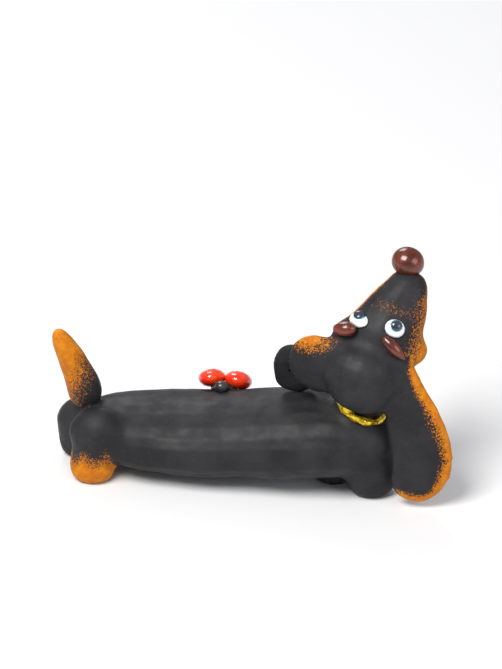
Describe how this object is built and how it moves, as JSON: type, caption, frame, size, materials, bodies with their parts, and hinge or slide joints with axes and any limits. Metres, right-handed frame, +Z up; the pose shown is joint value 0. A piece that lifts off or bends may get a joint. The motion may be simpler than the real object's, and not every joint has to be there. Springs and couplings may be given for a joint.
{
  "type": "ceramic dog figurine",
  "caption": "Hand-built black ceramic dachshund with its head thrown back, orange markings, a gold collar and a red ladybird on its flank.",
  "frame": {"origin": "on the floor, under the middle of the figurine's outline seen from above", "axes": "+X along the body from the tail to the chest, +Y to the dog's left, +Z up"},
  "size_m": [0.206, 0.0622, 0.1275],
  "materials": {
    "charcoal_clay": "matt",
    "brown_glaze": "gloss",
    "white_glaze": "gloss",
    "dark_glaze": "gloss",
    "gold_paint": "metallic lustre",
    "red_glaze": "gloss",
    "black_glaze": "satin"
  },
  "bodies": {
    "root": {"torso": "charcoal_clay", "haunch_right": "charcoal_clay", "haunch_left": "charcoal_clay", "hind_leg_right": "charcoal_clay", "hind_leg_left": "charcoal_clay", "front_leg_right": "charcoal_clay", "front_leg_left": "charcoal_clay", "tail": "charcoal_clay", "neck": "charcoal_clay", "skull": "charcoal_clay", "muzzle": "charcoal_clay", "cheek_right": "charcoal_clay", "cheek_left": "charcoal_clay", "ear_right": "charcoal_clay", "ear_left": "charcoal_clay", "nose": "brown_glaze", "eye_right": "white_glaze", "eye_left": "white_glaze", "pupil_right": "dark_glaze", "pupil_left": "dark_glaze", "brow_right": "brown_glaze", "brow_left": "brown_glaze", "collar": "gold_paint", "collar_tag": "gold_paint", "ladybird_body": "black_glaze", "ladybird_head": "black_glaze", "wing_case_right": "red_glaze", "wing_case_left": "red_glaze"}
  },
  "joints": []
}
